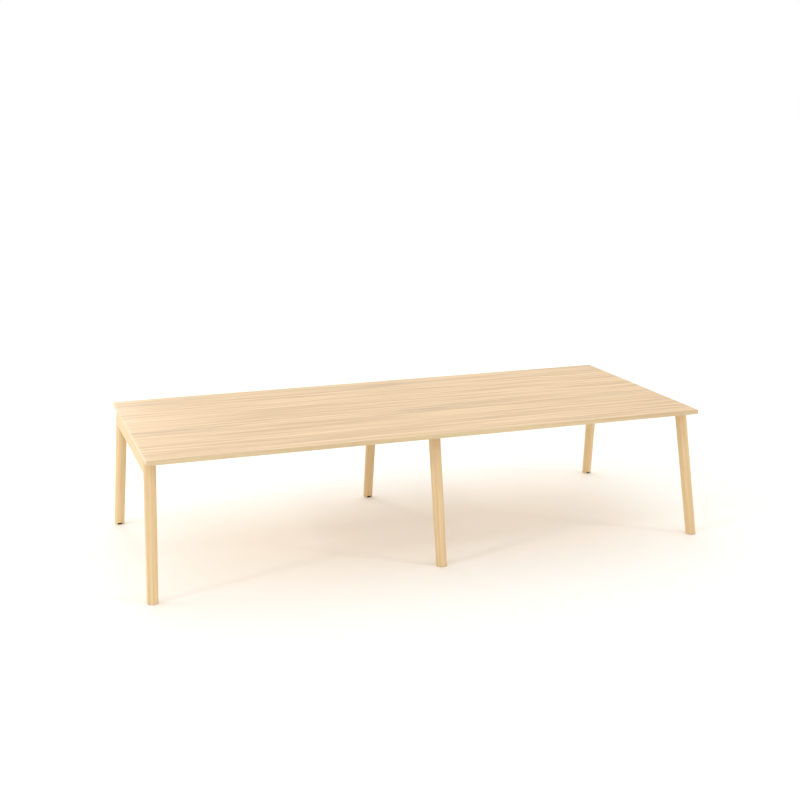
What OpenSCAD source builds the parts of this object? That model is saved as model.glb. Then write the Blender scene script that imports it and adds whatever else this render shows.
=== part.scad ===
// Long table: two laminated boards on three splayed leg frames with levelling feet.
// Millimetres. The origin is on the floor under the middle of the top.
// +X runs along the table's length, +Y towards its back edge, +Z up.

/* [Table top] */
// Length of the whole top along X
top_l = 3100; // [2800:10:3400]
// Depth of the top along Y
top_w = 1300; // [1200:10:1500]
// Height of the top's upper face above the floor
top_h = 740; // [700:5:780]
// Thickness of the boards
board_t = 25; // [25:1:30]
// Thickness of the edge band
band_t = 2; // [1:0.5:3]
// Gap between the two boards at mid length
joint_gap = 0.6; // [0.2:0.1:2]

/* [Legs] */
// Diameter of a leg at the underside of the top
leg_top_d = 64; // [62:1:70]
// Diameter of a leg at the floor
leg_foot_d = 57; // [54:1:62]
// How far an end leg's axis is inside the end of the top, at the top
top_inset_x = 34; // [34:1:60]
// How far a leg's axis is inside the long edge, at the top
top_inset_y = 132; // [110:1:160]
// How far an end leg's axis is outside the end of the top, at the floor
foot_out_x = 1; // [-20:1:10]
// How far a leg's axis is inside the long edge, at the floor
foot_inset_y = 8; // [0:1:30]
// Height of the wood's lower end above the floor
foot_gap = 2; // [2:0.5:5]

/* [Frame] */
// Height of the wooden rail between the two left legs
rail_h = 76; // [60:1:100]
// Height of the wooden rail between the two right legs
right_rail_h = 58; // [56:1:100]
// Thickness of that rail
rail_t = 18; // [16:1:18]
// Height of all the steel tubes
tube_h = 40; // [38:1:45]
// Width of the end cross tubes and of the long beams
tube_w = 25; // [24:1:25]
// Width of the middle cross tube, which carries both boards
mid_tube_w = 60; // [56:1:64]
// Wall of the tubes
wall = 2; // [1.5:0.5:3]
// Distance of the long beams from the table's centre line
beam_y = 250; // [240:5:260]
// Thickness of the plate let into a leg's top
plate_t = 5; // [4:0.5:6]

/* [Feet] */
// How far the levelling screw is from the leg's axis, towards the centre line
glide_in = 12; // [8:1:12]
// Diameter of the plastic base
base_d = 24; // [22:1:24]
// Height of the relief around the base, open towards the centre line
relief_h = 11; // [11:0.5:14]

/* [Hidden] */

LEFT = -1;
MIDDLE = 0;
RIGHT = 1;
FRONT = -1;
BACK = 1;
SIDES = [LEFT, RIGHT];
FRAMES = [LEFT, MIDDLE, RIGHT];
ROWS = [FRONT, BACK];

wood_colour = [0.91, 0.77, 0.57];
laminate_colour = [0.93, 0.83, 0.67];
band_colour = [0.90, 0.78, 0.60];
steel_colour = [0.72, 0.72, 0.70];
zinc_colour = [0.80, 0.80, 0.78];
dowel_colour = [0.85, 0.68, 0.45];
black_colour = [0.08, 0.08, 0.08];

half_l = top_l / 2;
half_w = top_w / 2;
under = top_h - board_t;     // height of the boards' underside
cut = 1;                     // how far a cut runs past a face
round_fn = 96;
small_fn = 48;

// Leg axis: at the floor and at the boards' underside
function foot_x(side) = side * (half_l + foot_out_x);
function head_x(side) = side * (half_l - top_inset_x);
foot_y = half_w - foot_inset_y;
head_y = half_w - top_inset_y;
overshoot = 30;              // the tapered bar is this much longer before it is cut level

// End rail, flush with the outside of the legs
rail_out = half_l - top_inset_x + leg_top_d / 2;
rail_in = rail_out - rail_t;
function rail_height(side) = side == RIGHT ? right_rail_h : rail_h;
function rail_low(side) = under - rail_height(side);
rail_round = 3;

// Steel tubes under the boards
tube_low = under - tube_h;
tube_mid_z = under - tube_h / 2;
flange_t = 5;
flange_out = head_y - leg_top_d / 2 - 1;
tube_end = flange_out - flange_t;
end_tube_x = rail_in - tube_w / 2;
function tube_x(side) = side * end_tube_x;
function tube_width(side) = side == MIDDLE ? mid_tube_w : tube_w;
bracket_reach = 22;          // how far a bracket's plate runs past the leg's axis
bracket_in = 24;             // its half width away from the rail
bracket_rail = 14;           // its half width towards the rail

// Screws that hold a leg to its bracket: places about the leg's axis, towards the centre
LEG_SCREWS = [[12, -12], [12, 12], [-5, 0]];
m8_r = 3.9;
m8_hole_r = 4;
m8_head_r = 7.8;
leg_screw_l = 30;
insert_r = 6;
insert_l = 25;

// Long beams and the plates welded to their ends
beam_plate_t = 4;
beam_plate_w = 60;
beam_bolt_y = 21;            // bolts on both sides of a beam
m6_r = 2.95;
m6_hole_r = 3;
rivet_r = 4.5;
rivet_l = 14;
m6_head_r = 5;
m6_head_h = 6;
beam_from = end_tube_x - tube_w / 2;
beam_to = mid_tube_w / 2;

// Wood screws
screw_r = 2;
screw_head_r = 4;
screw_head_h = 2.4;
screw_hole_r = 2.3;
access_r = 6;
top_screw_l = 18;
rail_screw_l = 15;
END_SCREW_Y = [-380, -180, -60, 60, 180, 380];
MID_SCREW_Y = [-380, -180, -80, 80, 180, 380];
mid_screw_x = 18;
RAIL_SCREW_Y = [-430, -320, -120, 120, 320, 430];
BEAM_SCREW_X = [190, 770, 1350];

// Dowels between rail and leg
dowel_r = 4;
rail_dowel_l = 50;
rail_dowel_in_leg = 20;
rail_dowel_high = 18;        // upper dowel below the boards' underside
rail_dowel_low = 16;         // lower dowel above the rail's lower edge
rail_mid_x = (rail_out + rail_in) / 2;

// Joint of the two boards
JOINT_DOWEL_Y = [-450, -300, -150, 150, 300, 450];
joint_dowel_l = 40;
JOINT_BOLT_Y = [-595, 0, 595];
joint_z = under + 11;
joint_bore_x = 70;
joint_bore_r = 17.5;
joint_bore_d = 18;
channel_w = 8;
channel_d = 15;
washer_x = 55;               // inner face of a washer
washer_t = 6;
washer_r = 16.5;
joint_rod_x = washer_x + washer_t + 7;
hex_10_r = 5.7;
hex_10_h = 5;

// Levelling foot
glide_y = foot_y - glide_in;
relief_r = 13.5;
relief_half = 13;            // half width of its open side
foot_bore_l = 50;
clear_bore_r = 4.6;
stem_r = 3.95;
stem_from = 2.5;
stem_to = 45;
hex_13_r = 7.5;
hex_from = 8.2;
hex_h = 1.6;
base_h = 8;
base_chamfer = 0.8;
socket_r = 4;
socket_from = 2.4;

// Box given by its low and high corners
module span_box(low, high) {
    translate(low)
        cube(high - low);
}

// Rectangle w by h standing on the X axis, with its four corners rounded
module soft_rect(w, h, r) {
    translate([-w / 2 + r, 0])
        square([w - 2 * r, h]);
    translate([-w / 2, r])
        square([w, h - 2 * r]);
    for (x = [-w / 2 + r, w / 2 - r], y = [r, h - r])
        translate([x, y])
            circle(r = r, $fn = small_fn);
}

// Everything inside is placed at the glide of one leg
module at_glide(side, row) {
    translate([foot_x(side), row * glide_y, 0])
        children();
}

// Everything inside is placed at the three screws of one leg's top
module at_leg_screws(side, row) {
    inward = side == MIDDLE ? 1 : -side;
    for (place = LEG_SCREWS)
        translate([head_x(side) + inward * place[0], row * (head_y + place[1]), 0])
            children();
}

// ---- table top ----

// Pockets in the underside and dowel bores at the joint of the boards
module joint_cuts() {
    for (y = JOINT_BOLT_Y) {
        for (x = [-joint_bore_x, joint_bore_x])
            translate([x, y, under - cut])
                cylinder(r = joint_bore_r, h = joint_bore_d + cut, $fn = round_fn);
        span_box([-joint_bore_x, y - channel_w / 2, under - cut],
                 [joint_bore_x, y + channel_w / 2, under + channel_d]);
    }
    for (y = JOINT_DOWEL_Y)
        translate([-joint_dowel_l / 2, y, under + board_t / 2])
            rotate([0, 90, 0])
                cylinder(r = dowel_r, h = joint_dowel_l, $fn = small_fn);
}

// Pilot bores for the screws that hold the boards
module top_screw_pilots() {
    at_top_screws()
        cylinder(r = screw_r, h = top_screw_l, $fn = small_fn);
}

module board(side) {
    inner = joint_gap / 2 + band_t;
    outer = half_l - band_t;
    color(laminate_colour)
        difference() {
            span_box([min(side * inner, side * outer), -half_w + band_t, under],
                     [max(side * inner, side * outer), half_w - band_t, top_h]);
            joint_cuts();
            top_screw_pilots();
        }
}

// Section of an edge band: flat towards the board, rounded on its outside
module band_section() {
    intersection() {
        translate([0, 0])
            soft_rect(2 * band_t, board_t, band_t);
        square([band_t, board_t]);
    }
}

// A straight band of the given length along +Y, outside towards +X
module band_strip(length) {
    rotate([90, 0, 180])
        mirror([1, 0, 0])
            linear_extrude(height = length)
                band_section();
}

module long_band(side, row) {
    from = side == LEFT ? -half_l : joint_gap / 2;
    length = half_l - joint_gap / 2;
    color(band_colour)
        difference() {
            translate([row == BACK ? from + length : from, row * (half_w - band_t), under])
                rotate([0, 0, row == BACK ? 90 : -90])
                    band_strip(length);
            joint_cuts();
        }
}

module end_band(side) {
    length = top_w - 2 * band_t;
    color(band_colour)
        translate([side * (half_l - band_t), -side * length / 2, under])
            rotate([0, 0, side == RIGHT ? 0 : 180])
                band_strip(length);
}

module joint_band(side) {
    inner = side * joint_gap / 2;
    outer = side * (joint_gap / 2 + band_t);
    color(band_colour)
        difference() {
            span_box([min(inner, outer), -half_w + band_t, under],
                     [max(inner, outer), half_w - band_t, top_h]);
            joint_cuts();
        }
}

// ---- legs and wooden rails ----

// Round tapered bar along the leg's slanting axis, its seam line turned to the outer side,
// away from the leg's cuts
module leaning_bar(side, row) {
    from = [foot_x(side), row * foot_y, 0];
    run = [head_x(side), row * head_y, under] - from;
    length = norm(run);
    taper = (leg_top_d - leg_foot_d) / 2 / length;
    translate(from)
        rotate([0, acos(run[2] / length), atan2(run[1], run[0])])
            rotate([0, 0, 180])
                translate([0, 0, -overshoot])
                    cylinder(r1 = leg_foot_d / 2 - taper * overshoot,
                             r2 = leg_top_d / 2 + taper * overshoot,
                             h = length + 2 * overshoot, $fn = round_fn);
}

// Space of a bracket's plate in the leg's top
module plate_space(side, row, past) {
    toward = side == MIDDLE ? 1 : -side;
    x_a = head_x(side) + toward * bracket_in;
    x_b = side == MIDDLE ? -bracket_in : side * rail_in;
    y_a = row * tube_end;
    y_b = row * (head_y + bracket_reach);
    span_box([min(x_a, x_b), min(y_a, y_b), under - plate_t],
             [max(x_a, x_b), max(y_a, y_b), under + past]);
}

// Space of an end rail, which is let into its two legs
module rail_space(side) {
    x_a = side * rail_in;
    x_b = side * (rail_out + overshoot);
    span_box([min(x_a, x_b), -head_y, rail_low(side)], [max(x_a, x_b), head_y, under + cut]);
}

module rail_dowel_set(side) {
    for (row = ROWS, z = [under - rail_dowel_high, rail_low(side) + rail_dowel_low])
        translate([side * rail_mid_x, row * (head_y + rail_dowel_in_leg), z])
            rotate([row * 90, 0, 0])
                cylinder(r = dowel_r, h = rail_dowel_l, $fn = small_fn);
}

// Relief in a leg's lower end in which the levelling foot stands
module foot_relief(side, row) {
    y_a = row * glide_y;
    y_b = row * (glide_y - leg_foot_d);
    at_glide(side, row)
        cylinder(r = relief_r, h = relief_h, $fn = round_fn);
    span_box([foot_x(side) - relief_half, min(y_a, y_b), 0],
             [foot_x(side) + relief_half, max(y_a, y_b), relief_h]);
}

module leg(side, row) {
    color(wood_colour)
        difference() {
            intersection() {
                leaning_bar(side, row);
                span_box([-top_l, -top_w, foot_gap], [top_l, top_w, under]);
            }
            plate_space(side, row, cut);
            if (side != MIDDLE)
                rail_space(side);
            if (side != MIDDLE)
                rail_dowel_set(side);
            at_leg_screws(side, row)
                translate([0, 0, under - plate_t - insert_l])
                    cylinder(r = insert_r, h = insert_l + cut, $fn = small_fn);
            foot_relief(side, row);
            at_glide(side, row) {
                translate([0, 0, relief_h - cut])
                    cylinder(r = insert_r, h = insert_l + cut, $fn = small_fn);
                translate([0, 0, relief_h])
                    cylinder(r = clear_bore_r, h = foot_bore_l, $fn = small_fn);
            }
        }
}

module end_rail(side) {
    color(wood_colour)
        difference() {
            translate([side * rail_mid_x, head_y, rail_low(side)])
                rotate([90, 0, 0])
                    linear_extrude(height = 2 * head_y)
                        soft_rect(rail_t, rail_height(side), rail_round);
            rail_dowel_set(side);
            at_rail_screws(side)
                cylinder(r = screw_r, h = rail_screw_l, $fn = small_fn);
        }
}

// ---- steel frame ----

// Screws through a cross tube's outer wall into the rail, pointing outwards
module at_rail_screws(side) {
    for (y = RAIL_SCREW_Y)
        translate([side * (rail_in - wall), y, tube_mid_z])
            rotate([0, side * 90, 0])
                children();
}

// Screws up through the tubes' top walls into the boards, pointing up
module at_top_screws() {
    for (side = SIDES, y = END_SCREW_Y)
        translate([tube_x(side), y, under - wall])
            children();
    for (x = [-mid_screw_x, mid_screw_x], y = MID_SCREW_Y)
        translate([x, y, under - wall])
            children();
    for (side = SIDES, x = BEAM_SCREW_X, row = ROWS)
        translate([side * x, row * beam_y, under - wall])
            children();
}

// Holes for those screws, with wide holes below for the driver
module top_screw_holes() {
    at_top_screws() {
        cylinder(r = screw_hole_r, h = wall + cut, $fn = small_fn);
        translate([0, 0, -tube_h])
            cylinder(r = access_r, h = 2 * wall + cut, $fn = small_fn);
    }
}

// Bolts through the beams' end plates, pointing from the bolt's head into the cross tube
module at_beam_bolts() {
    for (side = SIDES, row = ROWS, off = [-beam_bolt_y, beam_bolt_y]) {
        translate([side * (beam_from - beam_plate_t), row * beam_y + off, tube_mid_z])
            rotate([0, side * 90, 0])
                children();
        translate([side * (beam_to + beam_plate_t), row * beam_y + off, tube_mid_z])
            rotate([0, -side * 90, 0])
                children();
    }
}

module cross_tube(side) {
    w = tube_width(side);
    x = side == MIDDLE ? 0 : tube_x(side);
    color(steel_colour)
        difference() {
            span_box([x - w / 2, -tube_end, tube_low], [x + w / 2, tube_end, under]);
            span_box([x - w / 2 + wall, -tube_end - cut, tube_low + wall],
                     [x + w / 2 - wall, tube_end + cut, under - wall]);
            top_screw_holes();
            at_beam_bolts()
                cylinder(r = rivet_r, h = beam_plate_t + wall + cut, $fn = small_fn);
            if (side != MIDDLE)
                at_rail_screws(side) {
                    cylinder(r = screw_hole_r, h = wall + cut, $fn = small_fn);
                    translate([0, 0, -tube_w])
                        cylinder(r = access_r, h = 2 * wall + cut, $fn = small_fn);
                }
        }
}

// A long beam with the plates welded to its two ends
module beam(side, row) {
    y = row * beam_y;
    x_a = side * (beam_to + beam_plate_t);
    x_b = side * (beam_from - beam_plate_t);
    low = min(x_a, x_b);
    high = max(x_a, x_b);
    color(steel_colour)
        difference() {
            union() {
                difference() {
                    span_box([low, y - tube_w / 2, tube_low], [high, y + tube_w / 2, under]);
                    span_box([low - cut, y - tube_w / 2 + wall, tube_low + wall],
                             [high + cut, y + tube_w / 2 - wall, under - wall]);
                }
                for (x = [low - beam_plate_t, high])
                    span_box([x, y - beam_plate_w / 2, tube_low],
                             [x + beam_plate_t, y + beam_plate_w / 2, under]);
            }
            top_screw_holes();
            at_beam_bolts()
                translate([0, 0, -cut])
                    cylinder(r = m6_hole_r + 0.2, h = beam_plate_t + 2 * cut, $fn = small_fn);
        }
}

// The two brackets of one frame: a plate let into the leg and a flange on the tube's end
module leg_brackets(side) {
    w = tube_width(side);
    x = side == MIDDLE ? 0 : tube_x(side);
    color(steel_colour)
        for (row = ROWS) {
            y_a = row * tube_end;
            y_b = row * flange_out;
            flange_w = min(w, 2 * bracket_in);
            difference() {
                union() {
                    plate_space(side, row, 0);
                    span_box([x - flange_w / 2, min(y_a, y_b), tube_low],
                             [x + flange_w / 2, max(y_a, y_b), under - plate_t / 2]);
                }
                at_leg_screws(side, row) {
                    translate([0, 0, under - plate_t - cut])
                        cylinder(r = m8_hole_r + 0.3, h = plate_t + 2 * cut, $fn = small_fn);
                    translate([0, 0, under - m8_head_r + m8_r])
                        cylinder(r1 = m8_r + 0.2, r2 = m8_head_r + 0.2,
                                 h = m8_head_r - m8_r, $fn = small_fn);
                }
            }
        }
}

// ---- fasteners ----

// Countersunk M8 screw, its top face at z = 0
module countersunk_m8() {
    head_h = m8_head_r - m8_r;
    translate([0, 0, -head_h])
        cylinder(r1 = m8_r, r2 = m8_head_r, h = head_h, $fn = small_fn);
    translate([0, 0, -leg_screw_l])
        cylinder(r = m8_r, h = leg_screw_l - head_h / 2, $fn = small_fn);
}

module leg_screws() {
    color(zinc_colour)
        for (side = FRAMES, row = ROWS)
            at_leg_screws(side, row)
                translate([0, 0, under])
                    countersunk_m8();
}

// Threaded sleeve standing on z = 0
module sleeve() {
    difference() {
        cylinder(r = insert_r, h = insert_l, $fn = small_fn);
        translate([0, 0, -cut])
            cylinder(r = m8_hole_r, h = insert_l + 2 * cut, $fn = small_fn);
    }
}

module leg_inserts() {
    color(zinc_colour)
        for (side = FRAMES, row = ROWS)
            at_leg_screws(side, row)
                translate([0, 0, under - plate_t - insert_l])
                    sleeve();
}

module rail_dowels() {
    color(dowel_colour)
        for (side = SIDES)
            rail_dowel_set(side);
}

// Round-headed wood screw: its head's flat face at z = 0, the shank along +Z
module wood_screw(length) {
    translate([0, 0, -screw_head_h])
        cylinder(r = screw_head_r, h = screw_head_h, $fn = small_fn);
    cylinder(r = screw_r, h = length, $fn = small_fn);
}

module rail_screws() {
    color(zinc_colour)
        for (side = SIDES)
            at_rail_screws(side)
                wood_screw(rail_screw_l);
}

module top_screws() {
    color(zinc_colour)
        at_top_screws()
            wood_screw(top_screw_l);
}

module beam_bolts() {
    color(zinc_colour)
        at_beam_bolts() {
            translate([0, 0, -m6_head_h])
                cylinder(r = m6_head_r, h = m6_head_h, $fn = small_fn);
            cylinder(r = m6_r, h = beam_plate_t + rivet_l, $fn = small_fn);
        }
}

module beam_rivet_nuts() {
    color(zinc_colour)
        at_beam_bolts()
            translate([0, 0, beam_plate_t])
                difference() {
                    cylinder(r = rivet_r, h = rivet_l, $fn = small_fn);
                    translate([0, 0, -cut])
                        cylinder(r = m6_hole_r, h = rivet_l + 2 * cut, $fn = small_fn);
                }
}

module joint_dowels() {
    color(dowel_colour)
        for (y = JOINT_DOWEL_Y)
            translate([-joint_dowel_l / 2, y, under + board_t / 2])
                rotate([0, 90, 0])
                    cylinder(r = dowel_r, h = joint_dowel_l, $fn = small_fn);
}

// Half-moon washers: round towards the joint, flat towards the nut
module joint_washers() {
    color(zinc_colour)
        for (y = JOINT_BOLT_Y, side = SIDES) {
            x_a = side * washer_x;
            x_b = side * (washer_x + washer_t);
            difference() {
                intersection() {
                    translate([side * joint_bore_x, y, under + 2])
                        cylinder(r = washer_r, h = joint_bore_d - 3, $fn = round_fn);
                    span_box([min(x_a, x_b), y - washer_r, under],
                             [max(x_a, x_b), y + washer_r, top_h]);
                }
                translate([-top_w, y, joint_z])
                    rotate([0, 90, 0])
                        cylinder(r = m6_hole_r + 0.2, h = 2 * top_w, $fn = small_fn);
            }
        }
}

module joint_bolts() {
    color(zinc_colour)
        for (y = JOINT_BOLT_Y)
            translate([0, y, joint_z])
                rotate([0, 90, 0]) {
                    translate([0, 0, -washer_x - washer_t - hex_10_h])
                        cylinder(r = hex_10_r, h = hex_10_h, $fn = 6);
                    translate([0, 0, -washer_x - washer_t])
                        cylinder(r = m6_r, h = washer_x + washer_t + joint_rod_x, $fn = small_fn);
                }
}

module joint_nuts() {
    color(zinc_colour)
        for (y = JOINT_BOLT_Y)
            translate([washer_x + washer_t, y, joint_z])
                rotate([0, 90, 0])
                    difference() {
                        cylinder(r = hex_10_r, h = hex_10_h, $fn = 6);
                        translate([0, 0, -cut])
                            cylinder(r = m6_hole_r, h = hex_10_h + 2 * cut, $fn = small_fn);
                    }
}

// ---- levelling feet ----

module foot_insert(side, row) {
    color(zinc_colour)
        at_glide(side, row)
            translate([0, 0, relief_h])
                sleeve();
}

module foot_screw(side, row) {
    color(zinc_colour)
        at_glide(side, row) {
            translate([0, 0, stem_from])
                cylinder(r = stem_r, h = stem_to - stem_from, $fn = small_fn);
            translate([0, 0, hex_from])
                cylinder(r = hex_13_r, h = hex_h, $fn = 6);
        }
}

module foot_base(side, row) {
    color(black_colour)
        at_glide(side, row)
            difference() {
                union() {
                    cylinder(r1 = base_d / 2 - base_chamfer, r2 = base_d / 2,
                             h = base_chamfer, $fn = round_fn);
                    translate([0, 0, base_chamfer])
                        cylinder(r = base_d / 2, h = base_h - 2 * base_chamfer, $fn = round_fn);
                    translate([0, 0, base_h - base_chamfer])
                        cylinder(r1 = base_d / 2, r2 = base_d / 2 - base_chamfer,
                                 h = base_chamfer, $fn = round_fn);
                }
                translate([0, 0, socket_from])
                    cylinder(r = socket_r, h = base_h, $fn = small_fn);
            }
}

board(LEFT);  // board_left
board(RIGHT);  // board_right
long_band(LEFT, FRONT);  // band_front_left
long_band(LEFT, BACK);  // band_back_left
end_band(LEFT);  // band_end_left
joint_band(LEFT);  // band_joint_left
long_band(RIGHT, FRONT);  // band_front_right
long_band(RIGHT, BACK);  // band_back_right
end_band(RIGHT);  // band_end_right
joint_band(RIGHT);  // band_joint_right
leg(LEFT, FRONT);  // leg_front_left
leg(MIDDLE, FRONT);  // leg_front_middle
leg(RIGHT, FRONT);  // leg_front_right
leg(LEFT, BACK);  // leg_back_left
leg(MIDDLE, BACK);  // leg_back_middle
leg(RIGHT, BACK);  // leg_back_right
end_rail(LEFT);  // end_rail_left
end_rail(RIGHT);  // end_rail_right
cross_tube(LEFT);  // cross_tube_left
cross_tube(MIDDLE);  // cross_tube_middle
cross_tube(RIGHT);  // cross_tube_right
beam(LEFT, FRONT);  // beam_front_left
beam(LEFT, BACK);  // beam_back_left
beam(RIGHT, FRONT);  // beam_front_right
beam(RIGHT, BACK);  // beam_back_right
leg_brackets(LEFT);  // leg_brackets_left
leg_brackets(MIDDLE);  // leg_brackets_middle
leg_brackets(RIGHT);  // leg_brackets_right
leg_screws();
leg_inserts();
rail_dowels();
rail_screws();
beam_bolts();
beam_rivet_nuts();
top_screws();
joint_dowels();
joint_washers();
joint_bolts();
joint_nuts();
foot_insert(LEFT, FRONT);  // foot_insert_front_left
foot_insert(MIDDLE, FRONT);  // foot_insert_front_middle
foot_insert(RIGHT, FRONT);  // foot_insert_front_right
foot_insert(LEFT, BACK);  // foot_insert_back_left
foot_insert(MIDDLE, BACK);  // foot_insert_back_middle
foot_insert(RIGHT, BACK);  // foot_insert_back_right
foot_screw(LEFT, FRONT);  // foot_screw_front_left
foot_screw(MIDDLE, FRONT);  // foot_screw_front_middle
foot_screw(RIGHT, FRONT);  // foot_screw_front_right
foot_screw(LEFT, BACK);  // foot_screw_back_left
foot_screw(MIDDLE, BACK);  // foot_screw_back_middle
foot_screw(RIGHT, BACK);  // foot_screw_back_right
foot_base(LEFT, FRONT);  // foot_base_front_left
foot_base(MIDDLE, FRONT);  // foot_base_front_middle
foot_base(RIGHT, FRONT);  // foot_base_front_right
foot_base(LEFT, BACK);  // foot_base_back_left
foot_base(MIDDLE, BACK);  // foot_base_back_middle
foot_base(RIGHT, BACK);  // foot_base_back_right
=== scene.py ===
import math

import bmesh
import bpy
from mathutils import Euler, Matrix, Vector

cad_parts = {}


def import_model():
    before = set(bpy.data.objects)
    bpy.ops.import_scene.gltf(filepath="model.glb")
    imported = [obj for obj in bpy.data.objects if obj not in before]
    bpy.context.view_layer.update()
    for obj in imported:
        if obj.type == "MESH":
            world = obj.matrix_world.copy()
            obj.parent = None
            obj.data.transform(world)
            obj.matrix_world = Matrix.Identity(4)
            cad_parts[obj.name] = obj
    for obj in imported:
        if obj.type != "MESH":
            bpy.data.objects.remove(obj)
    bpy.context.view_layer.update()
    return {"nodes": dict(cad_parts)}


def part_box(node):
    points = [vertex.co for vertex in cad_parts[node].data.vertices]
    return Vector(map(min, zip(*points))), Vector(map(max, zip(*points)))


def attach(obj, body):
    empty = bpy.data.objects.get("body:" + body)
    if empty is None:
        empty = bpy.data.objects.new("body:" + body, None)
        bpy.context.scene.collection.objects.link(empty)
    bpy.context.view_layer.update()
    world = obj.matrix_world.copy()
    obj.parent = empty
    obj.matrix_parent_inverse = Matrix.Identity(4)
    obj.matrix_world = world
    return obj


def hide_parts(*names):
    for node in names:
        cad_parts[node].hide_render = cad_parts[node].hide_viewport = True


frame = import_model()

SIDES = ("left", "right")
FRAMES = ("left", "middle", "right")
ROWS = ("front", "back")
FEET = [f"{row}_{side}" for row in ROWS for side in FRAMES]
ZINC_NODES = ("leg_screws", "leg_inserts", "rail_screws", "beam_bolts", "beam_rivet_nuts",
              "top_screws", "joint_washers", "joint_bolts", "joint_nuts")
FOOT_R, HEAD_R = 0.0285, 0.032        # a leg's radius at the floor and under the top
UNDER_Z, TOP_Z = (corner[2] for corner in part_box("board_left"))
QUARTER = math.pi / 2

# Decor of the boards: a repeat with dark streaks round one place in it
REPEAT_X, REPEAT_Y = 1.364, 0.652
STREAK_X, STREAK_Y = 0.093, -0.122
DECOR_LIGHT, DECOR_DARK = (0.770, 0.563, 0.346), (0.550, 0.393, 0.231)
STREAK = (0.45, 0.34, 0.225)
DECOR_SKIN = 0.0002                   # thickness of the decor sheet, and of its fade into the chips
CHIP_LIGHT, CHIP_DARK = (0.62, 0.44, 0.25), (0.30, 0.18, 0.09)
BAND_LIGHT, BAND_DARK = (0.69, 0.545, 0.335), (0.59, 0.445, 0.265)
# End bands: the edging's decor drawn lighter than on the long bands, as painted light from the lamps at
# the left on the end faces
END_PAINTED_LIT_LIGHT, END_PAINTED_LIT_DARK = (0.79, 0.645, 0.445), (0.69, 0.54, 0.36)
WOOD_LIGHT, WOOD_DARK, WOOD_PORE = (0.80, 0.60, 0.345), (0.665, 0.47, 0.245), (0.47, 0.30, 0.15)

# Edges broken by sanding and deburring
WOOD_EASE, TUBE_EASE, BRACKET_EASE = 0.001, 0.0008, 0.0005

# Levelling feet
THREAD_PITCH, THREAD_DEPTH = 0.00125, 0.00062
THREAD_R = 0.00395
THREAD_ROWS = 6                       # rings for each turn of the thread
TIP_CHAMFER = 0.0008
HEX_CORNER, HEX_FACE, HEX_SHOULDER = 0.0075, 0.0063, 0.0069   # radii of the hexagon and its chamfers
HEX_GAP, HEX_TOP = 0.0002, 0.0018     # its faces above the base
FLUTES, FLUTE_DEPTH = 24, 0.00045     # grip round the plastic base
SHARP_ANGLE = math.radians(38)


# ---- node helpers ----

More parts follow.
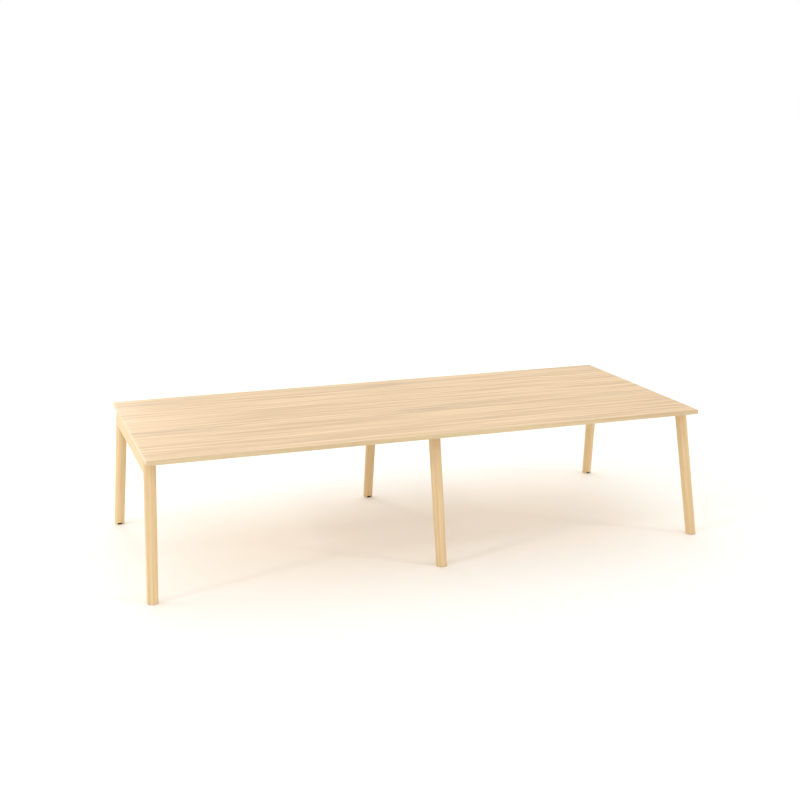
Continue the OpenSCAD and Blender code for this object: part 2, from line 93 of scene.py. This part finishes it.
class Tree:
    """A material's node tree with short calls for the nodes used here."""

    def __init__(self, name):
        self.material = bpy.data.materials.new(name)
        self.material.use_nodes = True
        self.nodes = self.material.node_tree.nodes
        self.links = self.material.node_tree.links
        self.nodes.clear()
        self.out = self.nodes.new("ShaderNodeOutputMaterial")
        self.shader = self.nodes.new("ShaderNodeBsdfPrincipled")
        self.links.new(self.shader.outputs[0], self.out.inputs[0])

    def put(self, socket, value):
        if hasattr(value, "is_output"):
            self.links.new(value, socket)
        else:
            socket.default_value = value

    def coords(self):
        return self.nodes.new("ShaderNodeTexCoord").outputs["Object"]

    def place(self, vector, scale=(1, 1, 1), turn=(0, 0, 0), shift=(0, 0, 0)):
        node = self.nodes.new("ShaderNodeMapping")
        self.links.new(vector, node.inputs["Vector"])
        node.inputs["Location"].default_value = shift
        node.inputs["Rotation"].default_value = turn
        node.inputs["Scale"].default_value = scale
        return node.outputs[0]

    def noise(self, vector, scale=1.0, detail=3.0, rough=0.5):
        node = self.nodes.new("ShaderNodeTexNoise")
        self.links.new(vector, node.inputs["Vector"])
        node.inputs["Scale"].default_value = scale
        node.inputs["Detail"].default_value = detail
        node.inputs["Roughness"].default_value = rough
        return node.outputs["Fac"]

    def math(self, kind, *values):
        node = self.nodes.new("ShaderNodeMath")
        node.operation = kind
        for socket, value in zip(node.inputs, values):
            self.put(socket, value)
        return node.outputs[0]

    def product(self, a, b):
        return self.math("MULTIPLY", a, b)

    def total(self, *values):
        result = values[0]
        for value in values[1:]:
            result = self.math("ADD", result, value)
        return result

    def sway(self, vector, scale, detail, reach):
        """Noise about zero, times reach."""
        noise = self.noise(self.place(vector, scale=scale), detail=detail)
        return self.product(self.math("SUBTRACT", noise, 0.5), reach)

    def distance_in_repeat(self, value, middle, repeat):
        """How far value is from the nearest of the places one repeat apart."""
        wrapped = self.math("WRAP", self.math("SUBTRACT", value, middle), repeat / 2, -repeat / 2)
        return self.math("ABSOLUTE", wrapped)

    def spread(self, value, low, high, out_low=0.0, out_high=1.0):
        node = self.nodes.new("ShaderNodeMapRange")
        node.interpolation_type = "SMOOTHSTEP"
        for key, item in zip(("Value", "From Min", "From Max", "To Min", "To Max"),
                             (value, low, high, out_low, out_high)):
            self.put(node.inputs[key], item)
        return node.outputs[0]

    def mix(self, factor, a, b):
        node = self.nodes.new("ShaderNodeMix")
        node.data_type = "RGBA"
        for key, value in (("Factor_Float", factor), ("A_Color", a), ("B_Color", b)):
            socket = next(s for s in node.inputs if s.identifier == key)
            self.put(socket, (*value, 1.0) if isinstance(value, tuple) else value)
        return next(s for s in node.outputs if s.identifier == "Result_Color")

    def split(self, vector):
        node = self.nodes.new("ShaderNodeSeparateXYZ")
        self.links.new(vector, node.inputs[0])
        return node.outputs

    def join(self, x, y, z):
        node = self.nodes.new("ShaderNodeCombineXYZ")
        for socket, value in zip(node.inputs, (x, y, z)):
            self.put(socket, value)
        return node.outputs[0]

    def bump(self, height, distance, strength):
        node = self.nodes.new("ShaderNodeBump")
        node.inputs["Strength"].default_value = strength
        node.inputs["Distance"].default_value = distance
        self.links.new(height, node.inputs["Height"])
        self.links.new(node.outputs[0], self.shader.inputs["Normal"])

    def finish(self, colour, rough, metallic=0.0, specular=0.5):
        self.put(self.shader.inputs["Base Color"], colour)
        self.put(self.shader.inputs["Roughness"], rough)
        self.shader.inputs["Metallic"].default_value = metallic
        self.shader.inputs["Specular IOR Level"].default_value = specular
        return self.material


# ---- materials ----

def grain(tree, vector, along, across, detail, rough=0.6):
    """Lines along X: noise drawn out along the length."""
    return tree.noise(tree.place(vector, scale=(along, across, across)), detail=detail, rough=rough)


def decor(name, light=DECOR_LIGHT, dark=DECOR_DARK, shift=(0, 0, 0), turn=(0, 0, 0)):
    """Pale wood decor with fine wavy lines along X. Returns its tree, colour, frame and wavy frame."""
    tree = Tree(name)
    base = tree.place(tree.coords(), turn=turn, shift=shift)
    x, y, z = tree.split(base)
    wave = tree.sway(base, scale=(1.6, 3.2, 3.2), detail=2.0, reach=0.04)
    ripple = tree.sway(base, scale=(7, 11, 11), detail=1.0, reach=0.013)
    across = tree.total(y, wave, ripple)
    flow = tree.join(x, across, z)
    broad = grain(tree, flow, 0.45, 8, detail=2.0)
    figure = grain(tree, flow, 0.9, 42, detail=1.5)
    lines = grain(tree, flow, 1.6, 95, detail=4.0, rough=0.65)
    hairs = grain(tree, flow, 5.0, 210, detail=3.0)
    pores = grain(tree, flow, 14, 900, detail=2.0)
    tone = tree.total(tree.product(broad, 0.05), tree.product(figure, 0.47),
                      tree.product(lines, 0.28), tree.product(hairs, 0.17))
    colour = tree.mix(tree.spread(tone, 0.39, 0.61), light, dark)
    colour = tree.mix(tree.spread(pores, 0.55, 0.72, 0.0, 0.22), colour, STREAK)
    tree.bump(tree.total(tree.product(lines, 0.4), pores), 0.00012, 0.6)
    rough = tree.spread(pores, 0.3, 0.7, 0.46, 0.56)
    tree.finish(colour, rough, specular=0.22)
    return tree, colour, base, flow


def board_material():
    """The decor with its dark streaks, and chipboard between the two decor sheets."""
    tree, colour, base, flow = decor("board_decor")
    x, across, z = tree.split(flow)
    u = tree.distance_in_repeat(x, STREAK_X, REPEAT_X)
    v = tree.distance_in_repeat(across, STREAK_Y, REPEAT_Y)
    near = tree.product(tree.spread(u, 0.05, 0.42, 1.0, 0.0), tree.spread(v, 0.01, 0.07, 1.0, 0.0))
    knot = tree.spread(grain(tree, flow, 3.0, 60, detail=2.0), 0.44, 0.58)
    colour = tree.mix(tree.product(tree.product(near, knot), 0.55), colour, STREAK)
    band = tree.spread(v, 0.03, 0.10, 1.0, 0.0)
    line = tree.spread(grain(tree, flow, 0.5, 75, detail=2.0), 0.54, 0.66)
    colour = tree.mix(tree.product(tree.product(band, line), 0.25), colour, STREAK)
    over = tree.spread(z, UNDER_Z + DECOR_SKIN, UNDER_Z + 2 * DECOR_SKIN)
    under = tree.spread(z, TOP_Z - 2 * DECOR_SKIN, TOP_Z - DECOR_SKIN, 1.0, 0.0)
    flakes = tree.noise(base, scale=420, detail=3.0, rough=0.7)
    chips = tree.mix(tree.spread(flakes, 0.35, 0.65), CHIP_LIGHT, CHIP_DARK)
    colour = tree.mix(tree.product(over, under), colour, chips)
    tree.put(tree.shader.inputs["Base Color"], colour)
    return tree.material


def solid_wood(name, turn=(0, 0, 0), shift=(0, 0, 0)):
    """Pale solid wood; turn brings the grain's direction to X."""
    tree = Tree(name)
    base = tree.place(tree.coords(), turn=turn, shift=shift)
    x, y, z = tree.split(base)
    bend = tree.sway(base, scale=(1.4, 9, 9), detail=2.0, reach=0.022)
    flow = tree.join(x, tree.total(y, bend), tree.total(z, bend))
    rings = grain(tree, flow, 0.55, 42, detail=3.0)
    lines = grain(tree, flow, 3.0, 210, detail=4.0, rough=0.65)
    pores = grain(tree, flow, 26, 1500, detail=2.0)
    tone = tree.total(tree.product(rings, 0.6), tree.product(lines, 0.4))
    colour = tree.mix(tree.spread(tone, 0.34, 0.66), WOOD_LIGHT, WOOD_DARK)
    colour = tree.mix(tree.spread(pores, 0.55, 0.75, 0.0, 0.25), colour, WOOD_PORE)
    tree.bump(tree.total(tree.product(lines, 0.5), pores), 0.00015, 0.6)
    return tree.finish(colour, tree.spread(pores, 0.3, 0.7, 0.42, 0.55), specular=0.45)


def powder_coat():
    tree = Tree("powder_coat")
    base = tree.coords()
    peel = tree.noise(base, scale=900, detail=2.0)
    cloud = tree.noise(base, scale=7, detail=3.0)
    colour = tree.mix(tree.spread(cloud, 0.3, 0.7), (0.50, 0.50, 0.49), (0.44, 0.44, 0.43))
    colour = tree.mix(tree.spread(peel, 0.62, 0.8, 0.0, 0.5), colour, (0.62, 0.62, 0.61))
    tree.bump(peel, 0.0002, 0.5)
    return tree.finish(colour, tree.spread(cloud, 0.3, 0.7, 0.40, 0.5))


def zinc():
    tree = Tree("zinc_plate")
    base = tree.coords()
    fine = tree.noise(base, scale=2200, detail=2.0)
    cloud = tree.noise(base, scale=120, detail=4.0, rough=0.7)
    colour = tree.mix(tree.spread(cloud, 0.3, 0.7), (0.66, 0.66, 0.64), (0.50, 0.51, 0.52))
    tree.bump(fine, 0.00005, 0.5)
    return tree.finish(colour, tree.spread(cloud, 0.3, 0.7, 0.28, 0.46), metallic=1.0)


def black_plastic():
    tree = Tree("black_plastic")
    base = tree.coords()
    grit = tree.noise(base, scale=1600, detail=3.0)
    scuff = tree.noise(base, scale=160, detail=4.0, rough=0.7)
    colour = tree.mix(tree.spread(scuff, 0.55, 0.8), (0.004, 0.004, 0.004), (0.016, 0.015, 0.014))
    tree.bump(grit, 0.0001, 0.6)
    return tree.finish(colour, tree.spread(scuff, 0.3, 0.75, 0.40, 0.6), specular=0.3)


def black_steel():
    tree = Tree("black_steel")
    base = tree.coords()
    cloud = tree.noise(base, scale=260, detail=4.0, rough=0.7)
    colour = tree.mix(tree.spread(cloud, 0.3, 0.75), (0.022, 0.021, 0.022), (0.06, 0.058, 0.056))
    tree.bump(tree.noise(base, scale=2400, detail=2.0), 0.00005, 0.5)
    return tree.finish(colour, tree.spread(cloud, 0.3, 0.7, 0.34, 0.5), metallic=0.6)


# ---- levelling feet ----

def turned(name, centre, rings, segments):
    """A closed surface of rings about a vertical axis; a ring is (height, radius at an angle)."""
    bm = bmesh.new()
    loops = []
    for height, radius in rings:
        loop = []
        for step in range(segments):
            angle = 2 * math.pi * step / segments
            r = radius(angle)
            place = (centre[0] + r * math.cos(angle), centre[1] + r * math.sin(angle), height)
            loop.append(bm.verts.new(place))
        loops.append(loop)
    for low, high in zip(loops, loops[1:]):
        for step in range(segments):
            after = (step + 1) % segments
            bm.faces.new((low[step], low[after], high[after], high[step]))
    for loop, height, order in ((loops[0], rings[0][0], -1), (loops[-1], rings[-1][0], 1)):
        middle = bm.verts.new((*centre, height))
        for step in range(segments):
            ends = (loop[step], loop[(step + 1) % segments])
            bm.faces.new((*ends[::order], middle))
    mesh = bpy.data.meshes.new(name)
    bm.to_mesh(mesh)
    bm.free()
    mesh.shade_smooth()
    mesh.set_sharp_from_angle(angle=SHARP_ANGLE)
    obj = bpy.data.objects.new(name, mesh)
    bpy.context.scene.collection.objects.link(obj)
    return obj


def round_ring(height, radius):
    return height, lambda angle: radius


def middle_of(node):
    low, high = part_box(node)
    return (low[0] + high[0]) / 2, (low[1] + high[1]) / 2


def stand_in(obj, node, material):
    """The new piece takes a CAD node's place, on the body that has the node's name."""
    obj.data.materials.append(material)
    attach(obj, node)
    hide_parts(node)


def foot_base(foot, material):
    """Plastic base: rounded edges, a fluted grip and a socket for the screw."""
    node = f"foot_base_{foot}"
    low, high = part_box(node)
    outer, bottom, top = (high[0] - low[0]) / 2, low[2], high[2]

    def fluted(angle):
        return outer - FLUTE_DEPTH * max(0.0, math.cos(FLUTES * angle)) ** 2

    # Distance from the end face, and how far the rounded edge is inside the rim
    lower_edge = ((0.0, 0.0019), (0.00012, 0.0011), (0.0005, 0.00035), (0.0011, 0.0), (0.0015, 0.0))
    upper_edge = ((0.0016, 0.0), (0.0011, 0.0), (0.0005, 0.00035), (0.00012, 0.0011), (0.0, 0.0019))
    # Distance below the top face, and radius, from the recess round the screw into the socket
    socket = ((0.0, 0.0074), (0.0004, 0.0070), (0.0004, 0.0046), (0.0008, 0.0041), (0.0054, 0.0041))
    rings = [round_ring(bottom + rise, outer - inside) for rise, inside in lower_edge]
    rings += [(bottom + rise, fluted) for rise in (0.0021, 0.0058)]
    rings += [round_ring(top - fall, outer - inside) for fall, inside in upper_edge]
    rings += [round_ring(top - fall, radius) for fall, radius in socket]
    stand_in(turned(f"levelling_base_{foot}", middle_of(node), rings, 144), node, material)


def hexagon(limit):
    """Radius of the hexagon at an angle, cut back to a circle of this radius."""
    def radius(angle):
        turn = angle % (math.pi / 3) - math.pi / 6
        return min(limit, HEX_CORNER * math.cos(math.pi / 6) / math.cos(turn))
    return radius


def thread(height, fade):
    """Radius of a right-hand thread at this height; fade is 0 where it runs out and 1 at full depth."""
    def radius(angle):
        turn = (height / THREAD_PITCH - angle / (2 * math.pi)) % 1.0
        return THREAD_R - fade * THREAD_DEPTH * (1 - abs(2 * turn - 1))
    return radius


def foot_screw(foot, material):
    """M8 screw: plain end in the base, a chamfered hexagon and a right-hand thread."""
    node = f"foot_screw_{foot}"
    low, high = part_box(node)
    base_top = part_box(f"foot_base_{foot}")[1][2]
    hex_low, hex_high = base_top + HEX_GAP, base_top + HEX_TOP
    thread_from, tip = hex_high + 0.0004, high[2]
    plain = ((low[2], THREAD_R - 0.0006), (low[2] + 0.0006, THREAD_R), (hex_low, THREAD_R))
    rings = [round_ring(height, radius) for height, radius in plain]
    half = ((0.0, HEX_FACE), (0.0003, HEX_SHOULDER), (0.00055, HEX_CORNER))
    rings += [(hex_low + rise, hexagon(limit)) for rise, limit in half]
    rings += [(hex_high - fall, hexagon(limit)) for fall, limit in reversed(half)]
    rings.append(round_ring(hex_high, 0.0036))
    count = int((tip - TIP_CHAMFER - thread_from) / THREAD_PITCH * THREAD_ROWS)
    for row in range(count + 1):
        height = thread_from + row * THREAD_PITCH / THREAD_ROWS
        rings.append((height, thread(height, min(1.0, row / THREAD_ROWS))))
    rings.append(round_ring(tip, THREAD_R - 0.0011))
    stand_in(turned(f"levelling_screw_{foot}", middle_of(node), rings, 36), node, material)


# ---- the CAD nodes' finish ----

def use(node, material):
    """Gives a CAD node this material."""
    obj = frame["nodes"][node]
    obj.data.materials.clear()
    obj.data.materials.append(material)
    return obj


def ease(obj, width):
    """Breaks sharp edges."""
    bevel = obj.modifiers.new("eased_edges", "BEVEL")
    bevel.width = width
    bevel.segments = 2
    bevel.limit_method = "ANGLE"
    bevel.angle_limit = math.radians(40)


def leg_axis(row, side):
    """A leg's lowest and highest axis points, from its box and its radii."""
    low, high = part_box(f"leg_{row}_{side}")
    if row == "back":
        foot_y, head_y = high[1] - FOOT_R, low[1] + HEAD_R
    else:
        foot_y, head_y = low[1] + FOOT_R, high[1] - HEAD_R
    foot_x, head_x = {"left": (low[0] + FOOT_R, high[0] - HEAD_R),
                      "middle": (0.0, 0.0),
                      "right": (high[0] - FOOT_R, low[0] + HEAD_R)}[side]
    return Vector((foot_x, foot_y, low[2])), Vector((head_x, head_y, high[2]))


def finish_top():
    boards = board_material()
    band_long = decor("band_long", light=BAND_LIGHT, dark=BAND_DARK, shift=(0.4, 0.2, 0))[0].material
    # The end bands get the lighter decor: painted light on the end faces
    band_cross_painted_lit = decor("band_cross_painted_lit", light=END_PAINTED_LIT_LIGHT, dark=END_PAINTED_LIT_DARK, turn=(0, 0, QUARTER))[0].material
    for side in SIDES:
        use(f"board_{side}", boards)
        use(f"band_joint_{side}", boards)
        use(f"band_end_{side}", band_cross_painted_lit)
        for row in ROWS:
            use(f"band_{row}_{side}", band_long)
    use("joint_dowels", solid_wood("dowel_wood_x"))


def finish_frame():
    coat, plate = powder_coat(), zinc()
    rail_wood = solid_wood("rail_wood", turn=(0, 0, QUARTER), shift=(0.7, 0.3, 0.1))
    for side in SIDES:
        use(f"end_rail_{side}", rail_wood)
        for row in ROWS:
            ease(use(f"beam_{row}_{side}", coat), TUBE_EASE)
    for side in FRAMES:
        ease(use(f"cross_tube_{side}", coat), TUBE_EASE)
        ease(use(f"leg_brackets_{side}", coat), BRACKET_EASE)
    use("rail_dowels", solid_wood("dowel_wood_y", turn=(0, 0, QUARTER)))
    for node in (*ZINC_NODES, *(f"foot_insert_{foot}" for foot in FEET)):
        use(node, plate)


def finish_legs():
    plastic, blackened = black_plastic(), black_steel()
    for number, foot in enumerate(FEET):
        foot_point, head_point = leg_axis(*foot.split("_"))
        turn = (head_point - foot_point).to_track_quat("X", "Z").inverted().to_euler()
        shift = (0.37 * number, 0.11 * number, 0.23)     # so that no two legs look alike
        ease(use(f"leg_{foot}", solid_wood(f"leg_wood_{foot}", turn=tuple(turn), shift=shift)), WOOD_EASE)
        foot_base(foot, plastic)
        foot_screw(foot, blackened)


# ---- floor, light and camera ----

def floor(half_side=60.0):
    corners = [(x * half_side, y * half_side, 0) for x, y in ((-1, -1), (1, -1), (1, 1), (-1, 1))]
    mesh = bpy.data.meshes.new("floor")
    mesh.from_pydata(corners, [], [(0, 1, 2, 3)])
    plate = bpy.data.objects.new("floor", mesh)
    bpy.context.scene.collection.objects.link(plate)
    tree = Tree("floor_paint")
    tint = tree.mix(tree.noise(tree.coords(), scale=3.0), (0.985, 0.966, 0.925), (0.975, 0.956, 0.915))
    mesh.materials.append(tree.finish(tint, 0.75, specular=0.1))


def world(colour, strength):
    sky = bpy.data.worlds.new("studio")
    sky.use_nodes = True
    shade = sky.node_tree.nodes["Background"]
    shade.inputs["Color"].default_value = (*colour, 1.0)
    shade.inputs["Strength"].default_value = strength
    bpy.context.scene.world = sky


def lamp(name, kind, energy, colour, toward):
    """A light that faces away from this direction."""
    data = bpy.data.lights.new(name, kind)
    data.energy = energy
    data.color = colour
    obj = bpy.data.objects.new(name, data)
    obj.rotation_euler = toward.to_track_quat("Z", "Y").to_euler()
    bpy.context.scene.collection.objects.link(obj)
    return obj


def sun(name, azimuth, height, strength, softness, colour):
    """A soft distant light that comes from this azimuth (0 is +X, 90 is +Y) and height."""
    a, h = math.radians(azimuth), math.radians(height)
    toward = Vector((math.cos(a) * math.cos(h), math.sin(a) * math.cos(h), math.sin(h)))
    lamp(name, "SUN", strength, colour, toward).data.angle = math.radians(softness)


def softbox(name, place, aim, size, power, colour):
    """A square light at place that faces aim."""
    obj = lamp(name, "AREA", power, colour, Vector(place) - Vector(aim))
    obj.data.shape = "SQUARE"
    obj.data.size = size
    obj.location = place


def camera(place, turn, down, lens):
    """The camera, turned to the right of +Y and tipped down by these degrees."""
    data = bpy.data.cameras.new("camera")
    data.sensor_width = 36.0
    data.lens = lens
    data.clip_end = 200.0
    obj = bpy.data.objects.new("camera", data)
    bpy.context.scene.collection.objects.link(obj)
    obj.location = place
    obj.rotation_euler = Euler((math.radians(90.0 - down), 0.0, math.radians(-turn)))
    bpy.context.scene.camera = obj


finish_top()
finish_frame()
finish_legs()
floor()
world((1.0, 1.0, 1.0), 1.0)
sun("key_left", 194.0, 30.0, 0.32, 6.0, (1.0, 0.97, 0.92))
sun("key_right", -34.0, 30.0, 0.28, 6.0, (1.0, 0.97, 0.92))
sun("back_fill", 80.0, 42.0, 0.38, 60.0, (1.0, 0.98, 0.95))
softbox("left_box", (-3.9, 0.9, 1.8), (-1.4, 0.2, 0.7), 1.4, 15.0, (1.0, 0.97, 0.92))
softbox("sheen_box", (-1.7, 5.0, 1.9), (-1.3, 0.4, 0.74), 1.5, 34.0, (1.0, 0.98, 0.94))
camera(place=(-2.3431, -6.5731, 2.4638), turn=19.536, down=13.615, lens=56.405)
bpy.context.scene.view_settings.view_transform = "Standard"
